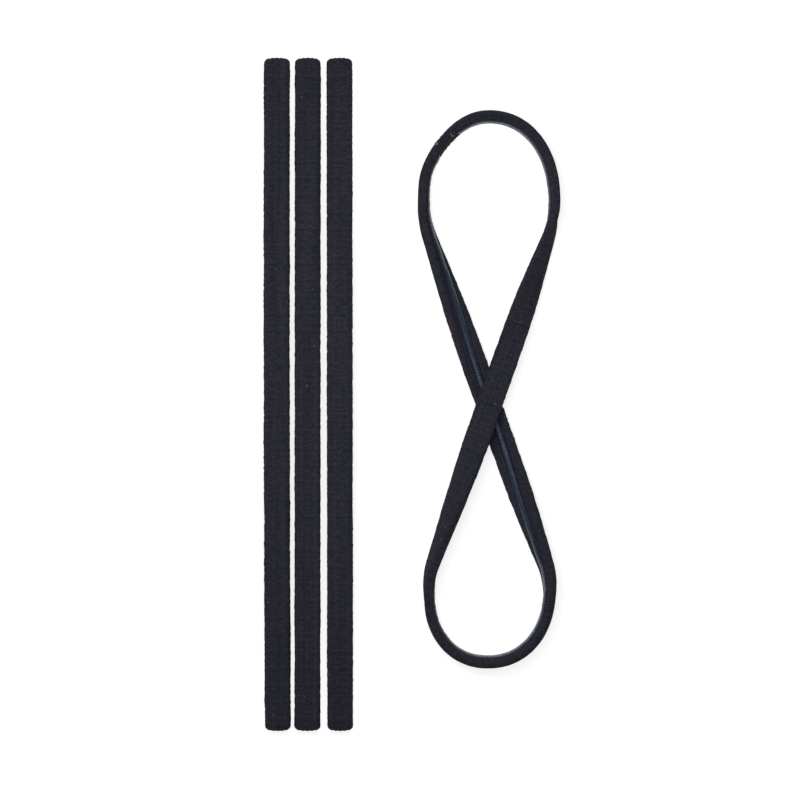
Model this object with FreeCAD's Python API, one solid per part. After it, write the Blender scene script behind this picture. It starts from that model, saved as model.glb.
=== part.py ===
"""Set of four elastic sports headbands, in millimetres.

Three bands lie folded flat side by side and the fourth is twisted into a figure eight. All four are the
same product: a flat knitted sheath round five rubber cords, closed into a loop by a sewn lap, with a
silicone grip strip along the inner face.

Frame: origin on the resting plane under the middle of the set, +Y along the bands, +Z up. Every band is
made in two lengths, near (-Y) and far (+Y), because the far length is pulled away as the elastic stretches.
"""
import FreeCAD
import Part
import os
from bisect import bisect_right
from math import asin, cos, pi, radians, sin, tan

V = FreeCAD.Vector
UP = V(0, 0, 1)

# --- the band's cross-section -------------------------------------------------------------------
BAND_WIDTH = 9.5
BAND_THICKNESS = 3.4
CAVITY_WIDTH = 8.6
CAVITY_THICKNESS = 1.5
CORD_COUNT = 5
CORD_WIDTH = 1.5
CORD_THICKNESS = 1.2
CORD_PITCH = 1.68
GRIP_WIDTH = 3.0
GRIP_THICKNESS = 0.35
BOND_GAP = 0.05

# --- the sewn lap that closes each loop ---------------------------------------------------------
LAP_LENGTH = 6.0
LAP_RAMP = 1.3
LAP_PRESSED = 0.48
LAP_SHIFT = BAND_THICKNESS / 4
GRIP_END_GAP = 1.0
STITCH_ROWS = 3
STITCHES_PER_ROW = 9
STITCH_PITCH = 0.85
STITCH_DIAMETER = 0.3
STITCH_LENGTH = 1.3
STITCH_SLANT = 0.2

# --- the three folded bands ---------------------------------------------------------------------
FOLDED_LENGTH = 252.0
FOLDED_GRIP_CLEARANCE = 0.06
GAP_1_TO_2 = 1.8
GAP_2_TO_3 = 2.55
BAND_1_TURN = 0.08
BAND_2_TURN = -0.035
BAND_3_TURN = 0.065
FOLDED_LAP_FROM_FOLD = 22.0

# --- the figure eight ---------------------------------------------------------------------------
GAP_3_TO_EIGHT = 24.95
CROSSING_Y = -3.95
CROSSING_HALF_ANGLE = 19.5
CROSSING_CLEARANCE = 0.12
ARCH_FLAT_RUN = 14.0
ARCH_REACH = 46.0
FAR_REACH = 107.8
FAR_HALF_WIDTH = 24.48
FAR_SQUARENESS = 2.2
FAR_LEAN = -0.58
NEAR_REACH = 96.1
NEAR_HALF_WIDTH = 22.65
NEAR_SQUARENESS = 2.15
NEAR_LEAN = -0.49
EIGHT_LAP_ANGLE = 46.0
DENT_ANGLE = 49.0
DENT_DEPTH = 1.7
DENT_REACH = 20.4

# --- how the solids are made --------------------------------------------------------------------
SPLIT_GAP = 0.1
STATION_PITCH = 3.0
RAMP_STATIONS = 5
TONGUE_STATIONS = 3
TRACE_STEPS = 360

LAYER_GAP = 2 * (BOND_GAP + GRIP_THICKNESS) + FOLDED_GRIP_CLEARANCE
LAYER_PITCH = BAND_THICKNESS + LAYER_GAP
FOLD_RADIUS = LAYER_PITCH / 2
LOWER_Z = BAND_THICKNESS / 2
UPPER_Z = LOWER_Z + LAYER_PITCH
FOLD_Y = FOLDED_LENGTH / 2 - FOLD_RADIUS - BAND_THICKNESS / 2
EIGHT_OUTER_WIDTH = 2 * FAR_HALF_WIDTH + BAND_THICKNESS
SET_WIDTH = 3 * BAND_WIDTH + GAP_1_TO_2 + GAP_2_TO_3 + GAP_3_TO_EIGHT + EIGHT_OUTER_WIDTH
BAND_1_X = (BAND_WIDTH - SET_WIDTH) / 2
BAND_2_X = BAND_1_X + BAND_WIDTH + GAP_1_TO_2
BAND_3_X = BAND_2_X + BAND_WIDTH + GAP_2_TO_3
EIGHT_X = (SET_WIDTH - EIGHT_OUTER_WIDTH) / 2
CROSSING_LIFT = BAND_THICKNESS + 2 * (BOND_GAP + GRIP_THICKNESS) + CROSSING_CLEARANCE


class Bar:
    """A flat bar with round edges that runs along a band: its size and its place in the section."""

    def __init__(self, width, thickness, sideways=0.0, outwards=0.0):
        self.width = width
        self.thickness = thickness
        self.sideways = sideways
        self.outwards = outwards


SHEATH = Bar(BAND_WIDTH, BAND_THICKNESS)
CAVITY = Bar(CAVITY_WIDTH, CAVITY_THICKNESS)
GRIP = Bar(GRIP_WIDTH, GRIP_THICKNESS, 0.0, -(BAND_THICKNESS + GRIP_THICKNESS) / 2 - BOND_GAP)
CORDS = [
    Bar(CORD_WIDTH, CORD_THICKNESS, (i - (CORD_COUNT - 1) / 2) * CORD_PITCH)
    for i in range(CORD_COUNT)
]


class Frame:
    """A place on a band: its centre, the way it runs, its outward face normal and its width direction."""

    def __init__(self, centre, along, outwards):
        self.centre = centre
        self.along = V(along).normalize()
        self.outwards = (outwards - self.along * outwards.dot(self.along)).normalize()
        self.across = self.outwards.cross(self.along)


class Section:
    """A section of the band at a distance along its path, pressed thinner and shifted at the lap."""

    def __init__(self, s, pressed=1.0, shift=0.0):
        self.s = s
        self.pressed = pressed
        self.shift = shift

    def wire(self, path, bar):
        frame = path.frame(self.s)
        outwards = bar.outwards * self.pressed + self.shift
        middle = frame.centre + frame.across * bar.sideways + frame.outwards * outwards
        radius = bar.thickness * self.pressed / 2
        half = frame.across * (bar.width / 2 - radius)
        rise = frame.outwards * radius
        edge = frame.across * (bar.width / 2)
        return Part.Wire([
            Part.makeLine(middle + half + rise, middle - half + rise),
            Part.Arc(middle - half + rise, middle - edge, middle - half - rise).toShape(),
            Part.makeLine(middle - half - rise, middle + half - rise),
            Part.Arc(middle + half - rise, middle + edge, middle + half + rise).toShape(),
        ])


def joined(solids):
    """One solid from pieces that share end faces."""
    if len(solids) == 1:
        return solids[0]
    return solids[0].fuse(solids[1:]).removeSplitter().Solids[0]


def smooth_step(share):
    return share * share * (3 - 2 * share)


# --- paths --------------------------------------------------------------------------------------
class FoldedPath:
    """Half of a flat-folded band: upper run from the middle, round the fold, lower run back to the middle."""

    def __init__(self, side):
        self.side = side
        self.run = FOLD_Y
        self.bend = pi * FOLD_RADIUS
        self.length = 2 * self.run + self.bend

    def frame(self, s):
        if s <= self.run:
            return Frame(V(0, self.side * s, UPPER_Z), V(0, self.side, 0), UP)
        if s >= self.run + self.bend:
            y = self.side * (self.length - s)
            return Frame(V(0, y, LOWER_Z), V(0, -self.side, 0), -UP)
        angle = (s - self.run) / FOLD_RADIUS
        outwards = V(0, self.side * sin(angle), cos(angle))
        centre = V(0, self.side * self.run, LOWER_Z + FOLD_RADIUS)
        along = V(0, self.side * cos(angle), -sin(angle))
        return Frame(centre + outwards * FOLD_RADIUS, along, outwards)

    def places(self, start, end):
        """The distances between which the path is straight or one round bend."""
        breaks = [self.run, self.run + self.bend]
        return [start] + [b for b in breaks if start < b < end] + [end]

    def stop_short(self, places):
        """The same places, with the last one a little nearer."""
        step = GRIP_END_GAP if places[-1] > places[0] else -GRIP_END_GAP
        return places[:-1] + [places[-1] - step]

    def bar(self, sections, bar):
        """A solid bar: a ruled length between sections, and a revolved one round the fold."""
        solids = []
        for a, b in zip(sections, sections[1:]):
            if self.run <= (a.s + b.s) / 2 <= self.run + self.bend:
                face = Part.Face(a.wire(self, bar))
                axis_point = V(0, self.side * self.run, LOWER_Z + FOLD_RADIUS)
                solids.append(face.revolve(axis_point, V(-self.side, 0, 0), 180))
            else:
                solids.append(Part.makeLoft([a.wire(self, bar), b.wire(self, bar)], True, True))
        return joined(solids)

    def tube(self, sections, outside, cavity):
        return self.bar(sections, outside).cut(self.bar(sections, cavity)).Solids[0]


def crossing_plan(reach, half_width):
    """Centre and semi-axis of the loop's end ellipse, which the straight strands meet as tangents."""
    slope = tan(radians(CROSSING_HALF_ANGLE))
    difference = (half_width / slope) ** 2 / reach
    return (reach + difference) / 2, (reach - difference) / 2


class Tilt:
    """How a strand turns from lying flat at the crossing to standing on edge round the loop."""

    def __init__(self, flat_run, reach, power):
        self.flat_run = flat_run
        self.reach = reach
        self.power = power

    def lean(self, from_crossing):
        share = min(max((from_crossing - self.flat_run) / (self.reach - self.flat_run), 0.0), 1.0)
        return pi / 2 * (1 - share) ** self.power


FAR_TILT_OVER = Tilt(6.0, 87.0, 1.28)
FAR_TILT_UNDER = Tilt(11.0, 82.7, 1.28)
NEAR_TILT_OVER = Tilt(0.5, 80.0, 1.52)
NEAR_TILT_UNDER = Tilt(12.4, 72.9, 1.17)


class EightPath:
    """Half of the figure eight: from the crossing up the right strand, round the end and back on the left.

    side is 1 for the far loop, whose right strand passes over, and -1 for the near loop, whose right
    strand passes under. The band stands on edge round the end and lies flat at the crossing. The strands
    are straight, the sides of the loop are an ellipse and its end is a slightly squarer one.
    """

    def __init__(self, side, reach, half_width, squareness, lean, tilt_over, tilt_under):
        self.side = side
        self.centre_y, self.semi_y = crossing_plan(reach, half_width)
        self.half_width = half_width
        self.squareness = squareness
        self.lean = lean
        self.tilts = {True: tilt_over, False: tilt_under}
        self.dent = None
        self.trace_plan()

    def end_height(self, angle):
        """Distance from the crossing of the point at an angle on the loop's end."""
        return self.centre_y + self.semi_y * sin(angle) ** (2 / self.squareness)

    def end_point(self, angle):
        if sin(angle) <= 0:
            return V(self.half_width * cos(angle), self.centre_y + self.semi_y * sin(angle), 0)
        reach = self.half_width * abs(cos(angle)) ** (2 / self.squareness)
        height = self.end_height(angle)
        lean = self.lean * (height - self.centre_y) / self.semi_y
        return V(reach * (1 if cos(angle) > 0 else -1) + lean, height, 0)

    def left_length(self, degrees):
        """Length along the path to a point on the left of the loop's end."""
        return self.length - self.length_to_height(self.end_height(radians(degrees)))

    def trace_plan(self):
        touch = asin(-self.semi_y / self.centre_y)
        turn = pi - 2 * touch
        points = [self.end_point(touch + turn * i / TRACE_STEPS) for i in range(TRACE_STEPS + 1)]
        self.plan = [V(0, 0, 0)] + points + [V(0, 0, 0)]
        self.lengths = [0.0]
        for a, b in zip(self.plan, self.plan[1:]):
            self.lengths.append(self.lengths[-1] + (b - a).Length)
        self.length = self.lengths[-1]

    def length_to_height(self, y):
        """Length along the right strand up to a given distance from the crossing."""
        for i in range(1, len(self.plan)):
            a, b = self.plan[i - 1], self.plan[i]
            if b.y >= y:
                return self.lengths[i - 1] + (b - a).Length * (y - a.y) / (b.y - a.y)
        raise ValueError("the loop doesn't reach that far")

    def plan_point(self, s):
        i = min(max(bisect_right(self.lengths, s) - 1, 0), len(self.plan) - 2)
        a, b = self.plan[i], self.plan[i + 1]
        share = (s - self.lengths[i]) / (self.lengths[i + 1] - self.lengths[i])
        return a + (b - a) * share

    def over(self, s):
        """True on the strand that passes over at the crossing."""
        return (s < self.length / 2) == (self.side > 0)

    def tilt(self, s):
        """How far the section leans from standing on edge: 90 degrees, flat, at the crossing."""
        return self.tilts[self.over(s)].lean(min(s, self.length - s))

    def height(self, s):
        """Height of the section's centre: resting on the plane, and arched where it passes over."""
        resting = BAND_THICKNESS / 2 + (BAND_WIDTH - BAND_THICKNESS) / 2 * cos(self.tilt(s))
        if not self.over(s):
            return resting
        from_crossing = min(s, self.length - s)
        share = min(max((from_crossing - ARCH_FLAT_RUN) / ARCH_REACH, 0.0), 1.0)
        return resting + CROSSING_LIFT * cos(pi / 2 * share) ** 2

    def sideways(self, s):
        """Horizontal direction away from the loop's middle, square to the plan curve."""
        step = 0.5
        run = self.plan_point(s + step) - self.plan_point(s - step)
        return V(run.y, -run.x, 0).normalize()

    def centre(self, s):
        plan = self.plan_point(s)
        if self.dent is not None and abs(s - self.dent) < DENT_REACH:
            depth = DENT_DEPTH * cos(pi / 2 * (s - self.dent) / DENT_REACH) ** 2
            plan = plan - self.sideways(s) * depth
        return V(plan.x, self.side * plan.y, self.height(s))

    def frame(self, s):
        step = 0.25
        along = self.centre(s + step) - self.centre(s - step)
        level = self.sideways(s)
        level = V(level.x, self.side * level.y, 0)
        lean = self.tilt(s) if self.over(s) else -self.tilt(s)
        return Frame(self.centre(s), along, level * cos(lean) + UP * sin(lean))

    def places(self, start, end):
        count = round((end - start) / STATION_PITCH)
        return [start + (end - start) * i / count for i in range(count + 1)]

    def stop_short(self, places):
        """All but the last place, so that what stops short still curves exactly as the sheath does."""
        return places[:-1]

    def walls(self, sections, bar):
        """The bar's side faces: a smooth loft at full thickness, and a ruled one where the lap thins it."""
        plain = [section for section in sections if section.pressed == 1]
        thinned = [section for section in sections if section.pressed < 1]
        faces = Part.makeLoft([section.wire(self, bar) for section in plain], False, False).Faces
        if thinned:
            tongue = thinned + [plain[0]] if sections[0].pressed < 1 else [plain[-1]] + thinned
            faces += Part.makeLoft([section.wire(self, bar) for section in tongue], False, True).Faces
        return faces

    def closed(self, walls, ends):
        """A solid from side faces and end faces."""
        shell = Part.makeShell(walls + ends)
        shell.sewShape()
        solid = Part.makeSolid(shell)
        if solid.Volume < 0:
            solid.reverse()
        return solid

    def bar(self, sections, bar):
        ends = [Part.Face(section.wire(self, bar)) for section in (sections[0], sections[-1])]
        return self.closed(self.walls(sections, bar), ends)

    def tube(self, sections, outside, cavity):
        rings = []
        for section in (sections[0], sections[-1]):
            disc = Part.Face(section.wire(self, outside))
            rings += disc.cut(Part.Face(section.wire(self, cavity))).Faces
        return self.closed(self.walls(sections, outside) + self.walls(sections, cavity), rings)


# --- lengths of the band ------------------------------------------------------------------------
def plain_sections(path, start, end):
    """Full-thickness sections between two distances along the path."""
    return [Section(s) for s in path.places(start, end)]


def lap_sections(full, pressed_from, end, side):
    """The thinned end of the band: a ramp down from full thickness, then an even tongue to the cut."""
    sections = []
    for i in range(1, RAMP_STATIONS + 1):
        share = i / RAMP_STATIONS
        drop = smooth_step(share)
        s = full + (pressed_from - full) * share
        sections.append(Section(s, 1 - (1 - LAP_PRESSED) * drop, side * LAP_SHIFT * drop))
    for i in range(1, TONGUE_STATIONS + 1):
        s = pressed_from + (end - pressed_from) * i / TONGUE_STATIONS
        sections.append(Section(s, LAP_PRESSED, side * LAP_SHIFT))
    return sections


def over_sections(path, lap):
    """From the middle split to the lap, ending in the tongue that lies on the outer side."""
    start = lap - LAP_LENGTH / 2
    plain = plain_sections(path, SPLIT_GAP, start - LAP_RAMP)
    return plain + lap_sections(start - LAP_RAMP, start, start + LAP_LENGTH, 1)


def under_sections(path, lap):
    """From the tongue on the inner side of the lap back to the middle split."""
    end = lap + LAP_LENGTH / 2
    tongue = lap_sections(end + LAP_RAMP, end, end - LAP_LENGTH, -1)
    return tongue[::-1] + plain_sections(path, end + LAP_RAMP, path.length - SPLIT_GAP)


def whole_sections(path):
    """A half band with no lap in it, from split to split."""
    return plain_sections(path, SPLIT_GAP, path.length - SPLIT_GAP)


def grip_lengths(path, lap):
    """The grip strip, which stops short of the lap on both sides."""
    reach = LAP_LENGTH / 2 + LAP_RAMP
    before = path.stop_short(path.places(SPLIT_GAP, lap - reach))
    after = path.stop_short(path.places(lap + reach, path.length - SPLIT_GAP)[::-1])[::-1]
    return [path.bar([Section(s) for s in places], GRIP) for places in (before, after)]


def stitch(middle, lean, rise):
    """One stitch: a closed ring of thread with round corners."""
    corners = [middle - lean + rise, middle + lean + rise, middle + lean - rise, middle - lean - rise]
    radius = STITCH_DIAMETER / 2
    pieces = [Part.makeSphere(radius, corner) for corner in corners]
    for a, b in zip(corners, corners[1:] + corners[:1]):
        pieces.append(Part.makeCylinder(radius, (b - a).Length, a, b - a))
    return pieces[0].fuse(pieces[1:]).Solids[0]


def lap_stitches(path, lap):
    """Rows of thread across the lap, each stitch through both tongues."""
    threads = []
    for row in range(STITCH_ROWS):
        frame = path.frame(lap + (row - (STITCH_ROWS - 1) / 2) * LAP_LENGTH / STITCH_ROWS)
        lean = frame.along * (STITCH_LENGTH / 2) + frame.across * STITCH_SLANT
        rise = frame.outwards * ((BAND_THICKNESS - STITCH_DIAMETER) / 2)
        for i in range(STITCHES_PER_ROW):
            sideways = (i - (STITCHES_PER_ROW - 1) / 2) * STITCH_PITCH
            threads.append(stitch(frame.centre + frame.across * sideways, lean, rise))
    return threads


# --- the parts of one band ----------------------------------------------------------------------
def band_parts(near, far, lap):
    """Every sub-part of one band, by name, from the paths of its two halves."""
    over, under = over_sections(far, lap), under_sections(far, lap)
    far_cords = [far.bar(over, cord) for cord in CORDS] + [far.bar(under, cord) for cord in CORDS]
    return {
        "sheath_near": near.tube(whole_sections(near), SHEATH, CAVITY),
        "sheath_far_over": far.tube(over, SHEATH, CAVITY),
        "sheath_far_under": far.tube(under, SHEATH, CAVITY),
        "cords_near": Part.makeCompound([near.bar(whole_sections(near), cord) for cord in CORDS]),
        "cords_far": Part.makeCompound(far_cords),
        "grip_near": near.bar(whole_sections(near), GRIP),
        "grip_far": Part.makeCompound(grip_lengths(far, lap)),
        "lap_stitches": Part.makeCompound(lap_stitches(far, lap)),
    }


def save_band(name, parts, offset, turn=0.0):
    """Writes one band's sub-parts in place, after checking that each of their solids is valid."""
    for part_name, shape in parts.items():
        for solid in shape.Solids:
            if not solid.isValid() or solid.Volume <= 0:
                raise ValueError(part_name + " holds a bad solid")
        placed = shape.rotated(V(0, 0, 0), UP, turn).translated(offset)
        placed.exportStep("parts/" + name + "_" + part_name + ".step")


def main():
    os.makedirs("parts", exist_ok=True)
    near, far = FoldedPath(-1), FoldedPath(1)
    folded = band_parts(near, far, far.run + far.bend + FOLDED_LAP_FROM_FOLD)
    save_band("band_1", folded, V(BAND_1_X, 0, 0), BAND_1_TURN)
    save_band("band_2", folded, V(BAND_2_X, 0, 0), BAND_2_TURN)
    save_band("band_3", folded, V(BAND_3_X, 0, 0), BAND_3_TURN)
    near = EightPath(-1, NEAR_REACH, NEAR_HALF_WIDTH, NEAR_SQUARENESS, NEAR_LEAN,
                     NEAR_TILT_OVER, NEAR_TILT_UNDER)
    far = EightPath(1, FAR_REACH, FAR_HALF_WIDTH, FAR_SQUARENESS, FAR_LEAN, FAR_TILT_OVER, FAR_TILT_UNDER)
    far.dent = far.left_length(DENT_ANGLE)
    eight = band_parts(near, far, far.left_length(EIGHT_LAP_ANGLE))
    save_band("band_4", eight, V(EIGHT_X, CROSSING_Y, 0))


main()
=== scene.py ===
"""Four narrow elastic sports headbands on a white table: three folded flat, one laid as a figure eight.

Every band is one strip that runs from the under tongue of its sewn lap round the loop to the over tongue.
The strip's rows carry the knitted sheath, the rubber cords inside it and the silicone grip strip. Lengths in
the geometry are in millimetres in the frame's own axes, and turn into metres where a mesh is made.
"""
import math
import random

import bpy
import numpy as np
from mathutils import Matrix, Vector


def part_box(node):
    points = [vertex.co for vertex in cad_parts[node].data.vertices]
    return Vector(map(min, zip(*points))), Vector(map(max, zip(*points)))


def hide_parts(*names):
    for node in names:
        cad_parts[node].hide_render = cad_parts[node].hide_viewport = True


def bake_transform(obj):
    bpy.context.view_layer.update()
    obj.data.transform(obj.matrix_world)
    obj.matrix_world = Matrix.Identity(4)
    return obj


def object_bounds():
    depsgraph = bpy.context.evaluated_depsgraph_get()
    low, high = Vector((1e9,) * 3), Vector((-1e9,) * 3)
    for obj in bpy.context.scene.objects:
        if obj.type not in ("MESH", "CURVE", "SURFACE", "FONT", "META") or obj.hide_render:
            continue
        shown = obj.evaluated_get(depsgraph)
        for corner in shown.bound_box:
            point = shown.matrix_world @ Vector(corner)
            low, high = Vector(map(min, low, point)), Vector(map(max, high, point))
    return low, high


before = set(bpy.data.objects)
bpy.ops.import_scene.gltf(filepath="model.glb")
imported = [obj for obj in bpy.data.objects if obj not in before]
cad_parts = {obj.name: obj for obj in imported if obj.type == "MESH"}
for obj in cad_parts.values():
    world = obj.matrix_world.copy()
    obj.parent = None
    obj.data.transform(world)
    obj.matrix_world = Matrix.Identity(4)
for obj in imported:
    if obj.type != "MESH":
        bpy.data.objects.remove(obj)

CAD_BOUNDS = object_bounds()
MM = 0.001

# --- sizes shared with the CAD model, in mm and radians ------------------------------------------
WIDTH = 9.5
THICKNESS = 3.4
CAVITY_WIDTH = 8.6
CAVITY_THICKNESS = 1.5
LAYER_GAP = 0.86
CORD_WIDTH = 1.5
CORD_THICKNESS = 1.2
CORD_PITCH = 1.68
CORD_COUNT = 5
GRIP_WIDTH = 3.0
LAP_LENGTH = 6.0
GRIP_END_GAP = 2.3
GRIP_FROM_END = LAP_LENGTH + GRIP_END_GAP
FOLDED_LAP_FROM_FOLD = 22.0
CROSSING_HALF_ANGLE = math.radians(19.5)
CROSSING_LIFT = 4.32
ARCH_FLAT_RUN = 14.0
ARCH_REACH = 46.0
FAR_REACH = 107.8
FAR_HALF_WIDTH = 24.48
FAR_SQUARENESS = 2.2
FAR_LEAN = -0.58
NEAR_REACH = 96.1
NEAR_HALF_WIDTH = 22.65
NEAR_SQUARENESS = 2.15
NEAR_LEAN = -0.49
EIGHT_LAP_ANGLE = math.radians(46.0)
DENT_ANGLE = math.radians(49.0)
DENT_DEPTH = 1.7
DENT_REACH = 20.4

# --- the way the band really lies, beyond the CAD model's plain shapes, in mm and radians --------
LAP_RAMP = 0.5
LAP_TUCK = 0.45
LAP_PRESSED = 0.62
LAP_SHIFT = 0.6
LOOP_LEAN = math.radians(7.0)
LEAN_START = 55.0
LEAN_RAMP = 45.0
BAND_1_BOW = -0.25

# --- how finely the pieces are drawn, in mm and counts -------------------------------------------
TRACE_PITCH = 0.2
DIRECTION_REACH = 0.4
ROW_PITCH = 0.42
GRIP_ROW_PITCH = 0.45
CORD_ROW_PITCH = 2.5
FLAT_COLUMNS = 22
ARC_COLUMNS = 10
CORD_FLAT_COLUMNS = 2
CORD_ARC_COLUMNS = 5
LIP_DEPTH = 3.0


def unit(vectors):
    """The vectors scaled to length 1."""
    return vectors / np.linalg.norm(vectors, axis=-1, keepdims=True)


def smooth_step(share):
    """0 below 0 and 1 above 1, with a smooth slope between."""
    share = np.clip(share, 0.0, 1.0)
    return share * share * (3 - 2 * share)


def box_mm(node):
    """The two corners of a CAD node's box, in mm."""
    low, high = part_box(node)
    return np.array(low) / MM, np.array(high) / MM


# --- paths ---------------------------------------------------------------------------------------
class FoldedPath:
    """Half of a flat-folded band: upper run from the middle, round the fold, lower run back."""

    def __init__(self, middle_line, side, length):
        self.middle_line = middle_line
        self.side = side
        self.radius = (THICKNESS + LAYER_GAP) / 2
        self.run = length / 2 - self.radius - THICKNESS / 2
        self.bend = math.pi * self.radius
        self.length = 2 * self.run + self.bend

    def points(self, s):
        """Centres and outward face normals at distances s."""
        angle = np.clip((s - self.run) / self.radius, 0, math.pi)
        outwards = np.stack([0 * s, self.side * np.sin(angle), np.cos(angle)], axis=1)
        along = np.where(s <= self.run, s, np.where(s >= self.run + self.bend, self.length - s, self.run))
        y = self.side * along
        middle = np.stack([self.middle_line(y), y, THICKNESS / 2 + self.radius + 0 * s], axis=1)
        return middle + outwards * self.radius, outwards


class Tilt:
    """How a strand turns from lying flat at the crossing to standing on edge round the loop."""

    def __init__(self, flat_run, reach, power):
        self.flat_run = flat_run
        self.reach = reach
        self.power = power

    def lean(self, from_crossing):
        """Angle from standing on edge at these distances along the strand."""
        share = np.clip((from_crossing - self.flat_run) / (self.reach - self.flat_run), 0, 1)
        return math.pi / 2 * (1 - share) ** self.power


# The four strands turn a little earlier or later than in the CAD model.
FAR_TILT_OVER = Tilt(19.0, 77.0, 1.0)
FAR_TILT_UNDER = Tilt(11.0, 82.7, 1.28)
NEAR_TILT_OVER = Tilt(0.5, 84.0, 1.3)
NEAR_TILT_UNDER = Tilt(11.0, 75.5, 1.0)


class EightPath:
    """Half of the figure eight: from the crossing along the right strand, round the end and back.

    The strands are straight, the sides of the loop are an ellipse and its end is a slightly squarer one.
    """

    TRACE_STEPS = 1440
    PLAN_STEP = 0.5

    def __init__(self, side, reach, half_width, squareness, lean, tilt_over, tilt_under):
        self.origin = np.zeros(2)
        self.side = side
        self.tilt_over = tilt_over
        self.tilt_under = tilt_under
        slope = math.tan(CROSSING_HALF_ANGLE)
        difference = (half_width / slope) ** 2 / reach
        self.centre_y = (reach + difference) / 2
        self.semi_y = (reach - difference) / 2
        self.power = 2 / squareness
        touch = math.asin(-self.semi_y / self.centre_y)
        angle = np.linspace(touch, math.pi - touch, self.TRACE_STEPS + 1)
        end = np.sin(angle) > 0
        cosine = np.abs(np.cos(angle)) ** np.where(end, self.power, 1)
        height = np.where(end, self.end_height(np.abs(np.sin(angle))),
                          self.centre_y + self.semi_y * np.sin(angle))
        x = half_width * np.sign(np.cos(angle)) * cosine
        x = x + np.where(end, lean * (height - self.centre_y) / self.semi_y, 0)
        loop = np.stack([x, height], axis=1)
        self.plan = np.concatenate([[[0, 0]], loop, [[0, 0]]])
        steps = np.linalg.norm(np.diff(self.plan, axis=0), axis=1)
        self.lengths = np.concatenate([[0], np.cumsum(steps)])
        self.length = self.lengths[-1]
        self.dent = None

    def end_height(self, sine):
        """Distance from the crossing of the point on the loop's end whose angle has this sine."""
        return self.centre_y + self.semi_y * sine ** self.power

    def left_length(self, angle):
        """Length along the path to a point on the left of the loop's end."""
        y = self.end_height(math.sin(angle))
        i = np.argmax(self.plan[:, 1] >= y)
        return self.length - np.interp(y, self.plan[i - 1:i + 1, 1], self.lengths[i - 1:i + 1])

    def plan_points(self, s):
        """Positions seen from above, on the strands' straight continuation beyond either end."""
        inside = np.stack([np.interp(s, self.lengths, self.plan[:, k]) for k in (0, 1)], axis=1)
        first = unit(self.plan[1] - self.plan[0])
        last = unit(self.plan[-1] - self.plan[-2])
        before = np.minimum(s, 0)[:, None] * first
        after = np.maximum(s - self.length, 0)[:, None] * last
        return inside + before + after

    def passes_over(self, s):
        """Whether the points at distances s are on the strand that crosses above the other."""
        return (s < self.length / 2) == (self.side > 0)

    def plain_lean(self, s):
        """How far the outer face turns up: 90 degrees on the upper strand's crossing, -90 on the lower's."""
        upper = self.tilt_over.lean(np.minimum(s, self.length - s))
        lower = self.tilt_under.lean(np.minimum(s, self.length - s))
        return np.where(self.passes_over(s), upper, -lower)

    def lean(self, s):
        """The same with the slight lean that a band standing on its edge settles into."""
        lean = self.plain_lean(s)
        from_over_end = s if self.side > 0 else self.length - s
        settled = smooth_step((from_over_end - LEAN_START) / LEAN_RAMP)
        return lean - LOOP_LEAN * settled * np.cos(lean)

    def points(self, s):
        """Centres and outward face normals at distances s."""
        run = self.plan_points(s + self.PLAN_STEP) - self.plan_points(s - self.PLAN_STEP)
        level = unit(np.stack([run[:, 1], -run[:, 0]], axis=1))
        plan = self.plan_points(s)
        if self.dent is not None:
            share = np.clip((s - self.dent) / DENT_REACH, -1, 1)
            plan = plan - level * (DENT_DEPTH * np.cos(math.pi / 2 * share) ** 2)[:, None]
        arch = np.clip((np.minimum(s, self.length - s) - ARCH_FLAT_RUN) / ARCH_REACH, 0, 1)
        lift = np.where(self.passes_over(s), CROSSING_LIFT * np.cos(math.pi / 2 * arch) ** 2, 0)
        lean = self.lean(s)
        height = THICKNESS / 2 + (WIDTH - THICKNESS) / 2 * np.cos(lean) + lift
        flip = np.array([1, self.side])
        centres = np.column_stack([self.origin + plan * flip, height])
        outwards = np.column_stack([level * flip * np.cos(lean)[:, None], np.sin(lean)])
        return centres, outwards

    def middle_x(self):
        """The x half-way between the loop's outermost points, before it settles into its lean."""
        s = np.arange(self.PLAN_STEP, self.length, self.PLAN_STEP)
        reach = THICKNESS / 2 + (WIDTH - THICKNESS) / 2 * np.abs(np.sin(self.plain_lean(s)))
        x = self.plan_points(s)[:, 0]
        return (np.max(x + reach) + np.min(x - reach)) / 2


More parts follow.
